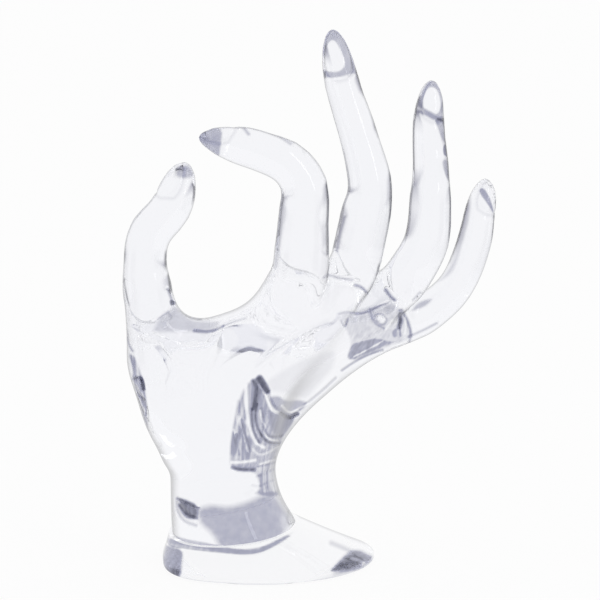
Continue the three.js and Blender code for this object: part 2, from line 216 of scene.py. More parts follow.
@dataclass(frozen=True)
class ClearResin:
    """Polished clear cast resin with a faint violet cast, painted shade in lines and patches, and painted
    grey shade at the outlines.
    """

    name: str
    tint: Colour = (0.935, 0.938, 0.963, 1.0)
    deep_tint: Colour = (0.905, 0.91, 0.945, 1.0)
    # The colours of the painted shade, of its deepest part, and of the painted shade at the outlines.
    painted_shade_tint: Colour = (0.158, 0.165, 0.268, 1.0)
    shadow_tint: Colour = (0.01, 0.011, 0.026, 1.0)
    outline_shade_tint: Colour = (0.02, 0.02, 0.03, 1.0)
    edge_start: float = 0.5
    edge_full: float = 0.95
    drift_scale: float = 22.0
    drift_detail: float = 2.0
    soft_detail: float = 1.0
    fine_detail: float = 4.0
    fleck: float = 0.3
    fleck_scale: float = 420.0
    # The painted streaks of shade and highlight.
    streak_gain: float = 2.6
    streak_scale: float = 620.0
    streak_stretch: float = 11.0
    streak_bend: float = 0.15
    roughness: float = 0.012
    smear: float = 0.03
    smear_scale: float = 140.0
    smear_start: float = 0.55
    smear_full: float = 0.8
    index: float = 1.49
    wave_size: float = 11.0
    wave_height: float = 0.06

    def material(self) -> bpy.types.Material:
        """Makes the finish.

        Returns:
            The material. Slow waves and smears are all over it, and the tint drifts. The skin's painted
            shade and its painted streaks of shade and highlight darken the light that enters, and the
            outlines get painted shade.
        """
        made = bpy.data.materials.new(self.name)
        made.use_nodes = True
        shader = Shader(made.node_tree)
        place = shader.node("ShaderNodeTexCoord", output="Object")
        drift = shader.noise(place, self.drift_scale, self.drift_detail)
        tint = shader.mix(drift, self.tint, self.deep_tint)
        # The painted shade, flecked at random.
        depth = shader.node("ShaderNodeAttribute", {"attribute_name": SHADE_ATTRIBUTE}, output="Fac")
        fleck = shader.noise(place, self.fleck_scale, self.fine_detail)
        # Its painted streaks of shade and highlight.
        streaked = shader.node("ShaderNodeAttribute", {"attribute_name": STREAK}, output="Fac")
        shrink = (1.0, 1.0, 1.0 / self.streak_stretch)
        along = shader.node("ShaderNodeMapping", inputs={"Vector": place, "Scale": shrink})
        grain = shader.noise(along, self.streak_scale, self.soft_detail, self.streak_bend)
        streak = streaked * (grain - 0.5) * self.streak_gain
        # The painted shade only tints light entering the skin.
        inner = shader.node("ShaderNodeNewGeometry", output="Backfacing")
        bloom = (depth * (fleck * self.fleck + (1.0 - 0.5 * self.fleck)) + streak) * (1.0 - inner)
        tone = shader.mix(bloom, tint, self.painted_shade_tint)
        dark = shader.mix(bloom - 1.0, tone, self.shadow_tint)
        # Painted shade at the outlines, where the skin is seen edge-on.
        slant = shader.node("ShaderNodeLayerWeight", output="Facing")
        edge = shader.rising(slant, self.edge_start, self.edge_full)
        handled = shader.noise(place, self.smear_scale, self.fine_detail)
        smear = shader.node(
            "ShaderNodeMapRange",
            inputs={"Value": handled, "From Min": self.smear_start, "From Max": self.smear_full},
        )
        wave = shader.noise(place, 1.0 / (self.wave_size * MM), self.soft_detail)
        normal = shader.node(
            "ShaderNodeBump",
            inputs={"Strength": 1.0, "Distance": self.wave_height * MM, "Height": wave},
        )
        surface = shader.node(
            "ShaderNodeBsdfPrincipled",
            inputs={
                "Base Color": shader.mix(edge, dark, self.outline_shade_tint),
                "Roughness": smear * self.smear + self.roughness,
                "Normal": normal,
                "IOR": self.index,
                "Transmission Weight": 1.0,
            },
        )
        shader.node("ShaderNodeOutputMaterial", inputs={"Surface": surface})
        return made


@dataclass(frozen=True)
class PaleFloor:
    """Matt pale paint that glows where it is seen and fades out to both sides."""

    name: str = "pale_floor"
    grey: Colour = (0.9, 0.9, 0.9, 1.0)
    glow: float = 0.93
    half_width: float = 170.0
    fade: float = 80.0

    def material(self) -> bpy.types.Material:
        """Makes the finish.

        Returns:
            The material.
        """
        made = bpy.data.materials.new(self.name)
        made.use_nodes = True
        shader = Shader(made.node_tree)
        place = shader.node("ShaderNodeTexCoord", output="Object")
        across = shader.node("ShaderNodeSeparateXYZ", inputs={0: place}, output="X").size()
        gone = shader.rising(across, self.half_width * MM, (self.half_width + self.fade) * MM)
        paint = shader.node("ShaderNodeBsdfDiffuse", inputs={"Color": self.grey})
        shine = shader.node("ShaderNodeEmission", inputs={"Color": WHITE, "Strength": 1.0})
        glow = shows_backdrop(shader) * self.glow
        lit = shader.node("ShaderNodeMixShader", inputs={0: glow, 1: paint, 2: shine})
        clear = shader.node("ShaderNodeBsdfTransparent")
        mixed = shader.node("ShaderNodeMixShader", inputs={0: gone, 1: lit, 2: clear})
        shader.node("ShaderNodeOutputMaterial", inputs={"Surface": mixed})
        return made


def nothing_selected() -> None:
    """Goes back to object mode and selects nothing."""
    if bpy.context.mode != "OBJECT":
        bpy.ops.object.mode_set(mode="OBJECT")
    bpy.ops.object.select_all(action="DESELECT")


def only(obj: bpy.types.Object) -> None:
    """Selects one object alone and makes it active.

    Args:
        obj: The object to work on.
    """
    nothing_selected()
    obj.select_set(True)
    bpy.context.view_layer.objects.active = obj


def modified(obj: bpy.types.Object, kind: str, **settings: object) -> None:
    """Adds a modifier and applies it.

    Args:
        obj: The object to change.
        kind: The modifier's type.
        settings: The modifier's settings by name.
    """
    only(obj)
    bpy.ops.object.modifier_add(type=kind)
    modifier = obj.modifiers[-1]
    for name, value in settings.items():
        setattr(modifier, name, value)
    bpy.ops.object.modifier_apply(modifier=modifier.name)


def corners(obj: bpy.types.Object) -> np.ndarray:
    """Reads a mesh's points.

    Args:
        obj: The mesh object.

    Returns:
        An array of points, one a row.
    """
    flat = np.empty(3 * len(obj.data.vertices))
    obj.data.vertices.foreach_get("co", flat)
    return flat.reshape(-1, 3)


def weighted(obj: bpy.types.Object, name: str, weights: np.ndarray) -> str:
    """Paints a vertex group.

    Args:
        obj: The mesh object.
        name: The group's name.
        weights: One weight a point, from 0 to 1.

    Returns:
        The group's name.
    """
    group = obj.vertex_groups.new(name=name)
    for index in np.nonzero(weights > NO_WEIGHT)[0]:
        group.add([int(index)], float(weights[index]), "REPLACE")
    return group.name


def smoothed(obj: bpy.types.Object, passes: int, name: str, weights: np.ndarray) -> None:
    """Smooths a mesh where it has weight, and keeps the weights as a vertex group."""
    group = weighted(obj, name, weights)
    modified(obj, "SMOOTH", iterations=passes, vertex_group=group)


def rounded(path: Path, closed: bool = False) -> np.ndarray:
    """Rounds the corners of a drawn line.

    Args:
        path: The line's points, across and up.
        closed: Whether the line comes back to its start.

    Returns:
        The finer line's points, one a row.
    """
    line = np.array(path + path[:1] if closed else path)
    for _ in range(CORNER_PASSES):
        early = (1.0 - CORNER_CUT) * line[:-1] + CORNER_CUT * line[1:]
        late = CORNER_CUT * line[:-1] + (1.0 - CORNER_CUT) * line[1:]
        cut = np.stack([early, late], axis=1).reshape(-1, 2)
        ends = (cut[-1:], cut[:0]) if closed else (line[:1], line[-1:])
        line = np.concatenate([ends[0], cut, ends[1]])
    return line


def distance_to(line: np.ndarray, points: np.ndarray) -> np.ndarray:
    """Measures how far points lie from a line.

    Args:
        line: The line's points, one a row.
        points: The points to measure, one a row.

    Returns:
        One distance a point.
    """
    best = np.full(len(points), np.inf)
    for start, end in zip(line[:-1], line[1:]):
        run = end - start
        share = np.clip((points - start) @ run / max(run @ run, NO_LENGTH), 0.0, 1.0)
        best = np.minimum(best, np.linalg.norm(points - start - share[:, None] * run, axis=1))
    return best


def inside(line: np.ndarray, points: np.ndarray) -> np.ndarray:
    """Tells which points lie inside a closed line.

    Args:
        line: The line's points, one a row, the last the same as the first.
        points: The points to test, one a row.

    Returns:
        One truth value a point.
    """
    odd = np.zeros(len(points), dtype=bool)
    for (x0, y0), (x1, y1) in zip(line[:-1], line[1:]):
        if y0 != y1:
            spans = (y0 > points[:, 1]) != (y1 > points[:, 1])
            odd ^= spans & (points[:, 0] < x0 + (x1 - x0) * (points[:, 1] - y0) / (y1 - y0))
    return odd


def covered(outline: Path, edge: float, seen: np.ndarray) -> np.ndarray:
    """Tells how far points lie inside an outline: 0 outside and on it, rising to 1 over its soft edge."""
    line = rounded(outline, closed=True)
    return np.clip(distance_to(line, seen) / edge, 0.0, 1.0) * inside(line, seen)


@dataclass(frozen=True)
class Crease:
    """A line on the near skin, pressed in by its depth or raised if that is below zero, and its painted
    shade, a painted highlight if that is below zero.
    """

    path: Path
    depth: float
    half_width: float
    bloom: float

    def share(self, seen: np.ndarray) -> np.ndarray:
        """Returns 1 for points on the line, falling to 0 at its half width."""
        return np.clip(1.0 - distance_to(rounded(self.path), seen) / self.half_width, 0.0, 1.0)

    def tone(self, seen: np.ndarray) -> np.ndarray:
        """Returns how much painted shade the line puts at each point."""
        share = self.share(seen)
        return self.bloom * share * share * (3.0 - 2.0 * share)

    def touched(self, seen: np.ndarray) -> np.ndarray:
        """Tells which points need a finer skin for this line."""
        return distance_to(rounded(self.path), seen) < self.half_width + LINE_MARGIN


@dataclass(frozen=True)
class ShadingPatch:
    """A patch of painted shade on the near skin, or of painted highlight if its strength is below zero."""

    outline: Path
    strength: float
    edge: float = 1.0
    streak: float = 0.0

    def tone(self, seen: np.ndarray) -> np.ndarray:
        """Returns how deep the patch's painted shade is at each point."""
        return self.strength * covered(self.outline, self.edge, seen)

    def streaks(self, seen: np.ndarray) -> np.ndarray:
        """Returns how strongly the patch is streaked with painted shade and highlight at each point."""
        return self.streak * covered(self.outline, self.edge, seen)

    def touched(self, seen: np.ndarray) -> np.ndarray:
        """Tells which points need a finer skin for this patch's edge."""
        return distance_to(rounded(self.outline, closed=True), seen) < EDGE_MARGIN


def seen_from_front(piece: bpy.types.Object) -> tuple[np.ndarray, np.ndarray]:
    """Looks at a piece from the front.

    Args:
        piece: The mesh object.

    Returns:
        Each point across and up in millimetres, and how squarely it faces the viewer.
    """
    points = corners(piece) / MM
    flat = np.empty(3 * len(piece.data.vertices), dtype=np.float32)
    piece.data.vertex_normals.foreach_get("vector", flat)
    normals = flat.reshape(-1, 3)
    facing = -math.cos(VIEW_RISE) * normals[:, 1] + math.sin(VIEW_RISE) * normals[:, 2]
    return np.stack([points[:, 0], points[:, 2] + SIGHT_FALL * points[:, 1]], axis=1), facing


@dataclass
class Collar:
    """The sloped oval where the wrist stands in the foot."""

    x: float = -10.4
    height: float = 10.5
    width: float = 37.6
    depth: float = 44.0
    slope: float = 0.08
    bond: float = 0.1

    def ring(self, wider: float, sides: int) -> np.ndarray:
        """Points of the oval at the foot's top.

        Args:
            wider: How much wider than the wrist it is.
            sides: The number of points.

        Returns:
            The points in metres, one a row.
        """
        turn = np.linspace(0.0, 2.0 * math.pi, sides, endpoint=False)
        across = (self.width + wider) / 2.0 * np.cos(turn)
        away = (self.depth + wider) / 2.0 * np.sin(turn)
        return np.stack([self.x + across, away, self.height + self.slope * across], axis=1) * MM


@dataclass
class Casting:
    """A piece cast in clear resin, with lines and patches of painted shade on its near side."""

    collar: Collar
    finish: ClearResin
    creases: tuple[Crease, ...]
    shading_patches: tuple[ShadingPatch, ...]
    slot: Slot
    sections: tuple[str, ...]
    crisp_angle: float
    piece: bpy.types.Object = field(init=False)

    def paint(self, more: np.ndarray, kept: np.ndarray | float = 1.0) -> None:
        """Keeps the painted shade and painted streaks of the lines and patches as attributes of the piece.

        Args:
            more: More painted shade, one value a point.
            kept: The share of painted shade and streaks that each point keeps.
        """
        seen, facing = seen_from_front(self.piece)
        tone = sum(shape.tone(seen) for shape in (*self.creases, *self.shading_patches))
        near = np.clip(NEAR_RISE * facing, 0.0, 1.0)
        streaks = sum(bloom.streaks(seen) for bloom in self.shading_patches) * (facing > 0.0)
        for name, values in ((SHADE_ATTRIBUTE, tone * near + more), (STREAK, streaks)):
            attribute = self.piece.data.attributes.new(name, "FLOAT", "POINT")
            attribute.data.foreach_set("value", np.clip(values * kept, 0.0, DEEPEST).astype(np.float32))

    def dress(self) -> None:
        """Polishes the piece, gives it its finish and places it in the frame."""
        only(self.piece)
        bpy.ops.object.shade_smooth_by_angle(angle=math.radians(self.crisp_angle))
        self.piece.data.materials.clear()
        self.piece.data.materials.append(self.finish.material())
        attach(self.piece, ROOT_BODY)
        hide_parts(*self.sections)
        log.info("%s: %d faces", self.piece.name, len(self.piece.data.polygons))


@dataclass
class CastHand(Casting):
    """The hand: one clear casting from the wrist to the fingertips."""

    slot: Slot = Slot.HAND
    sections: tuple[str, ...] = (
        "wrist", "palm", "thumb", "index_finger", "middle_finger", "ring_finger", "little_finger",
        "thumb_nail", "index_nail", "middle_nail", "ring_nail", "little_nail",
    )
    crisp_angle: float = 50.0
    weld: float = 0.001
    bond_fill: float = 0.26
    seam_reach: float = 1.5
    seam_passes: int = 6
    skin_cell: float = 0.88
    finger_passes: int = 12
    palm_passes: int = 36
    palm_margin: float = 4.0
    palm_fade: float = 8.0
    tip_passes: int = 24
    tip_reach: float = 2.6
    nail_search: float = 6.0
    plate_passes: int = 60
    plate_margin: float = 0.2
    groove_depth: float = 0.5
    groove_near: float = 0.1
    groove_middle: float = 0.7
    groove_far: float = 1.7
    groove_margin: float = 0.6
    groove_shade: float = 0.3
    fine_facing: float = -0.1
    soft_zones: tuple[Path, ...] = (
        ((-10.0, 66.0), (-6.0, 96.0), (48.0, 98.0), (50.0, 70.0), (30.0, 60.0), (10.0, 58.0)),
        ((-50.0, 56.0), (-50.0, 88.0), (-24.0, 86.0), (0.0, 84.0), (4.0, 62.0), (-14.0, 54.0)),
    )
    soft_edge: float = 5.0
    soft_rise: float = 3.0
    soft_passes: int = 120
    far_passes: int = 400
    polish_passes: int = 14

    def build(self) -> None:
        """Fuses the sections into one skin, smooths it, cuts its seat and carves it."""
        self._fuse_sections()
        self._smooth_skin()
        self._cut_seat()
        self._refine_skin()
        self._carve()
        self._form_nails()

    def _fuse_sections(self) -> None:
        """Joins copies of the sections into one closed skin."""
        copies = []
        for name in self.sections:
            copy = bpy.data.objects.new(f"{name}_copy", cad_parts[name].data.copy())
            bpy.context.scene.collection.objects.link(copy)
            copies.append(copy)
        only(copies[0])
        for copy in copies:
            copy.select_set(True)
        bpy.ops.object.join()
        self.piece = bpy.context.view_layer.objects.active
        self.piece.name = self.piece.data.name = "cast_hand"
        bpy.ops.object.mode_set(mode="EDIT")
        bpy.ops.mesh.select_all(action="SELECT")
        bpy.ops.mesh.remove_doubles(threshold=self.weld * MM)
        bpy.ops.object.mode_set(mode="OBJECT")
        modified(self.piece, "DISPLACE", strength=self.seam_reach * MM, mid_level=0.0)
        modified(self.piece, "REMESH", mode="VOXEL", voxel_size=self.skin_cell * MM, use_smooth_shade=True)
        modified(self.piece, "SMOOTH", iterations=self.seam_passes)
        modified(self.piece, "DISPLACE", strength=(self.bond_fill - self.seam_reach) * MM, mid_level=0.0)

    def _smooth_skin(self) -> None:
        """Smooths the skin, most of all over the palm, round the nails and at the fingers' roots."""
        modified(self.piece, "SMOOTH", iterations=self.finger_passes)
        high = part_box("palm")[1]
        height = corners(self.piece)[:, 2]
        fade = np.clip((high.z - self.palm_margin * MM - height) / (self.palm_fade * MM), 0.0, 1.0)
        smoothed(self.piece, self.palm_passes, "palm_skin", fade)
        tips = np.clip(2.0 - self._nail_distance() / self.tip_reach, 0.0, 1.0)
        smoothed(self.piece, self.tip_passes, "tip_skin", tips)
        seen, facing = seen_from_front(self.piece)
        soft = np.max([covered(zone, self.soft_edge, seen) for zone in self.soft_zones], axis=0)
        both = soft * np.clip(self.soft_rise * np.abs(facing), 0.0, 1.0)
        far = soft * np.clip(-self.soft_rise * facing, 0.0, 1.0)
        smoothed(self.piece, self.soft_passes, "root_skin", both)
        smoothed(self.piece, self.far_passes, "far_skin", far)

    def _nail_distance(self) -> np.ndarray:
        """Measures how far each point of the skin lies from the nearest nail.

        Returns:
            One distance a point in millimetres, endless beyond the search.
        """
        best = np.full(len(self.piece.data.vertices), np.inf)
        for name in self.sections:
            if name.endswith("_nail"):
                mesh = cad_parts[name].data
                faces = [polygon.vertices for polygon in mesh.polygons]
                tree = BVHTree.FromPolygons([vertex.co for vertex in mesh.vertices], faces)
                for index, vertex in enumerate(self.piece.data.vertices):
                    hit = tree.find_nearest(vertex.co, self.nail_search * MM)
                    if hit[0] is not None:
                        best[index] = min(best[index], hit[3] / MM)
        return best

    def _cut_seat(self) -> None:
        """Cuts the wrist flat where it stands on the foot."""
        only(self.piece)
        bpy.ops.object.mode_set(mode="EDIT")
        bpy.ops.mesh.select_all(action="SELECT")
        bpy.ops.mesh.bisect(
            plane_co=(self.collar.x * MM, 0.0, (self.collar.height + self.collar.bond) * MM),
            plane_no=(-self.collar.slope, 0.0, 1.0),
            use_fill=True,
            clear_inner=True,
        )
        bpy.ops.object.mode_set(mode="OBJECT")

    def _refine_skin(self) -> None:
        """Splits the skin's cells where lines, patches and nails are to come."""
        seen, facing = seen_from_front(self.piece)
        wanted = self._nail_distance() < self.groove_far + self.groove_margin
        for shape in (*self.creases, *self.shading_patches):
            wanted |= shape.touched(seen) & (facing > self.fine_facing)
        only(self.piece)
        for polygon in self.piece.data.polygons:
            polygon.select = any(wanted[i] for i in polygon.vertices)
        bpy.ops.object.mode_set(mode="EDIT")
        bpy.ops.mesh.select_mode(type="FACE")
        bpy.ops.mesh.subdivide(number_cuts=1, smoothness=0.0, ngon=False)
        bpy.ops.object.mode_set(mode="OBJECT")

    def _carve(self) -> None:
        """Presses the creases into the skin along the viewer's line of sight."""
        seen, facing = seen_from_front(self.piece)
        sunk = sum(crease.depth * crease.share(seen) for crease in self.creases) * (facing > 0.0) * MM
        points = corners(self.piece)
        points[:, 1] += sunk
        points[:, 2] -= SIGHT_FALL * sunk
        self.piece.data.vertices.foreach_set("co", points.ravel())
        self.piece.data.update()

    def _form_nails(self) -> None:
        """Flattens each nail's plate, sinks the groove round it and gives the skin its painted shade, more
        of it in the groove.
        """
        away = self._nail_distance()
        plate = (away < self.groove_near + self.plate_margin).astype(float)
        smoothed(self.piece, self.plate_passes, "nail_plate", plate)
        rise = (away - self.groove_near) / (self.groove_middle - self.groove_near)
        fall = (self.groove_far - away) / (self.groove_far - self.groove_middle)
        groove = np.clip(np.minimum(rise, fall), 0.0, 1.0)
        # Painted shade in the groove round each nail.
        self.paint(self.groove_shade * groove)
        group = weighted(self.piece, "nail_groove", groove)
        modified(self.piece, "DISPLACE", strength=-self.groove_depth * MM, mid_level=0.0, vertex_group=group)
        smoothed(self.piece, self.polish_passes, "nail_skin", (away < self.tip_reach).astype(float))


@dataclass
class FlaredFoot(Casting):
    """The foot: blunt at the heel, drawn out to a toe, with a hollow skirt up to the wrist."""

    slot: Slot = Slot.FOOT
    sections: tuple[str, ...] = ("foot",)
    crisp_angle: float = 40.0
    length: float = 64.0
    depth: float = 58.0
    edge_height: float = 2.4
    edge_round: float = 1.2
    heel_fullness: float = 3.0
    toe_fullness: float = 1.95
    skirt_hollow: float = 0.3
    seat_rim: float = 1.0
    seat_margin: float = 0.01
    sides: int = 192
    roll_rings: int = 5
    skirt_rings: int = 40
    heel_lift: float = 0.4
    sole_share: float = 0.72
    rim_painted_shade: float = 0.6
    rim_reach: float = 0.12

    def outline(self, height: float, inset: float) -> np.ndarray:
        """Points of the foot's outline in plan.

        Args:
            height: The ring's height.
            inset: How far inside the full outline it lies.

        Returns:
            The points in metres, one a row.
        """
        turn = np.linspace(0.0, 2.0 * math.pi, self.sides, endpoint=False)
        c, s = np.cos(turn), np.sin(turn)
        power = 2.0 / np.where(c > 0.0, self.toe_fullness, self.heel_fullness)
        x = np.sign(c) * np.abs(c) ** power * (self.length / 2.0 - inset)
        y = np.sign(s) * np.abs(s) ** power * (self.depth / 2.0 - inset)
        return np.stack([x, y, np.full_like(x, height)], axis=1) * MM

    def rings(self) -> list[np.ndarray]:
        """Every ring of the foot, from the underside up the skirt to the flat seat.

        Returns:
            The rings of points in metres.
        """
        sole = self.outline(0.0, self.edge_round)
        sole[:, 0] *= self.sole_share
        rings = [sole]
        for step in range(self.roll_rings + 1):
            turn = math.pi / 2.0 * step / self.roll_rings
            lift = self.heel_lift + (self.edge_round - self.heel_lift) * (1.0 - math.cos(turn))
            rings.append(self.outline(lift, self.edge_round * (1.0 - math.sin(turn))))
        edge = self.outline(self.edge_height, 0.0)
        top = self.collar.ring(2.0 * self.seat_rim, self.sides)
        for share in np.linspace(0.0, 1.0, self.skirt_rings + 1):
            ring = edge * (1.0 - share) + top * share
            ring[:, 2] -= 4.0 * self.skirt_hollow * MM * share * (1.0 - share)
            rings.append(ring)
        return rings

    def build(self) -> None:
        """Raises the foot ring by ring from a filled circle, and paints shade on all but its seat, with
        painted shade along its outline.
        """
        nothing_selected()
        radius = self.length / 2.0 * MM
        bpy.ops.mesh.primitive_circle_add(vertices=self.sides, radius=radius, fill_type="NGON")
        self.piece = bpy.context.view_layer.objects.active
        self.piece.name = self.piece.data.name = "flared_foot"
        bpy.ops.object.mode_set(mode="EDIT")
        rings = self.rings()
        self._move_selected(rings[0])
        for ring in rings[1:]:
            bpy.ops.mesh.extrude_region_move()
            self._move_selected(ring)
        bpy.ops.mesh.select_all(action="SELECT")
        bpy.ops.mesh.normals_make_consistent(inside=False)
        bpy.ops.object.mode_set(mode="OBJECT")
        facing = seen_from_front(self.piece)[1]
        # Painted shade where the foot is seen edge-on.
        rim = self.rim_painted_shade * np.clip(1.0 - np.abs(facing) / self.rim_reach, 0.0, 1.0)
        points = corners(self.piece) / MM
        seat = self.collar.height + self.collar.slope * (points[:, 0] - self.collar.x)
        self.paint(rim, points[:, 2] <= seat - self.seat_margin)

    def _move_selected(self, ring: np.ndarray) -> None:
        """Moves the selected ring of points to its place, in the order of their turn round the middle.

        Args:
            ring: The places in metres.
        """
        mesh = bmesh.from_edit_mesh(self.piece.data)
        chosen = [v for v in mesh.verts if v.select]
        middle = sum((v.co for v in chosen), Vector()) / len(chosen)
        chosen.sort(key=lambda v: self._turn(v.co, middle))
        targets = sorted(ring.tolist(), key=lambda place: self._turn(place, middle))
        for vertex, place in zip(chosen, targets, strict=True):
            vertex.co = place
        bmesh.update_edit_mesh(self.piece.data)

    @staticmethod
    def _turn(place: Sequence[float], middle: Vector) -> float:
        """Returns a place's turn round the middle, from 0 to a full turn."""
        return math.atan2(place[1] - middle.y, place[0] - middle.x) % (2.0 * math.pi)


@dataclass
class Studio:
    """A pale floor, soft light and the camera."""

    aim: Place = (9.6, 0.0, 80.7)
    distance: float = 1200.0
    frame_width: float = 180.0
    sensor: float = 36.0
    floor_size: float = 3000.0
    floor_lift: float = 0.02
    flag_full: float = -0.16
    flag_top: float = 0.02
    side_stops: Stops = (
        (0.0, WHITE), (0.52, WHITE), (0.64, FLAG), (0.86, FLAG),
        (0.94, (0.8, 0.8, 0.83, 1.0)), (1.0, (0.9, 0.9, 0.93, 1.0)),
    )
    rise_stops: Stops = ((0.0, DUSK), (0.6, DUSK), (0.8, WHITE))
    soft_light: float = 0.8
    lamp_place: Place = (550.0, -500.0, 500.0)
    lamp_aim: Place = (0.0, 0.0, 80.0)
    lamp_size: tuple[float, float] = (120.0, 800.0)
    lamp_power: float = 0.7
    bounces: int = 48

    def build(self) -> None:
        """Makes the floor, the light and the camera."""
        self._floor()
        self._world()
        self._lamp()
        self._camera()
        scene = bpy.context.scene
        scene.view_settings.view_transform = "Standard"
        scene.cycles.max_bounces = self.bounces
        scene.cycles.transmission_bounces = self.bounces
        scene.cycles.glossy_bounces = self.bounces

    def _floor(self) -> None:
        """Lays a plain pale runway whose sides fade out."""
        nothing_selected()
        middle = (0.0, 0.0, self.floor_lift * MM)
        bpy.ops.mesh.primitive_plane_add(size=self.floor_size * MM, location=middle)
        floor = bpy.context.view_layer.objects.active
        floor.name = "floor"
        floor.data.materials.append(PaleFloor().material())

    def _world(self) -> None:
        """Lights the room: white to the camera, with flags low at the sides and dusk below in the glass."""
        world = bpy.data.worlds.new("studio")
        bpy.context.scene.world = world
        world.use_nodes = True
        shader = Shader(world.node_tree)
        way = shader.node("ShaderNodeTexCoord", output="Generated")
        across, along, rise = (
            shader.node("ShaderNodeSeparateXYZ", inputs={0: way}, output=axis) for axis in "XYZ"
        )
        turn = shader.node("ShaderNodeMath", {"operation": "ARCTAN2"}, {0: across.size(), 1: along.size()})
        aside = turn * (2.0 / math.pi)
        flags = shader.node("ShaderNodeValToRGB", {"stops": self.side_stops}, {"Fac": aside})
        below = shader.node("ShaderNodeValToRGB", {"stops": self.rise_stops}, {"Fac": rise + 1.0})
        sides = shader.mix(shader.rising(rise, self.flag_full, self.flag_top), flags, WHITE)
        room = shader.mix(1.0, sides, below, "MULTIPLY")
        camera = shader.node("ShaderNodeLightPath", output="Is Camera Ray")
        shown = shader.mix(camera, room, WHITE)
        backdrop = shader.node("ShaderNodeBackground", inputs={"Color": shown, "Strength": 1.0})
        soft = shader.node("ShaderNodeBackground", inputs={"Color": WHITE, "Strength": self.soft_light})
        mixed = shader.node("ShaderNodeMixShader", inputs={0: shows_backdrop(shader), 1: soft, 2: backdrop})
        shader.node("ShaderNodeOutputWorld", inputs={"Surface": mixed})

    def _lamp(self) -> None:
        """Hangs a soft strip lamp in front, to the right."""
        bpy.ops.object.light_add(type="AREA", location=Vector(self.lamp_place) * MM)
        lamp = bpy.context.view_layer.objects.active
        lamp.name = "strip_lamp"
        lamp.data.shape = "RECTANGLE"
        lamp.data.size = self.lamp_size[0] * MM
        lamp.data.size_y = self.lamp_size[1] * MM
        lamp.data.energy = self.lamp_power
        towards = Vector(self.lamp_aim) - Vector(self.lamp_place)
        lamp.rotation_euler = towards.to_track_quat("-Z", "Y").to_euler()

    def _camera(self) -> None:
        """Sets the camera up where the photograph was taken from."""
        back = Vector((0.0, -math.cos(VIEW_RISE), math.sin(VIEW_RISE)))
        bpy.ops.object.camera_add(location=Vector(self.aim) * MM + back * self.distance * MM)
        camera = bpy.context.view_layer.objects.active
        camera.rotation_euler = (-back).to_track_quat("-Z", "Y").to_euler()
        camera.data.sensor_width = self.sensor
        camera.data.lens = self.sensor * self.distance / self.frame_width
        bpy.context.scene.camera = camera


# A painted lilac shade band where the wrist stands in the foot, on both pieces.
COLLAR_SHADE_BAND = ShadingPatch(
    ((-31.2, 8.6), (-24.0, 7.5), (-17.4, 6.6), (-11.4, 5.3), (-6.3, 4.9), (-1.8, 5.6), (2.1, 7.2),
     (6.3, 9.0), (7.2, 8.3), (3.0, 5.7), (-1.8, 3.6), (-6.3, 2.9), (-10.8, 3.2), (-15.9, 3.6), (-25.5, 4.2),
     (-31.2, 4.8)),
    0.84, 0.35, 0.2,
)
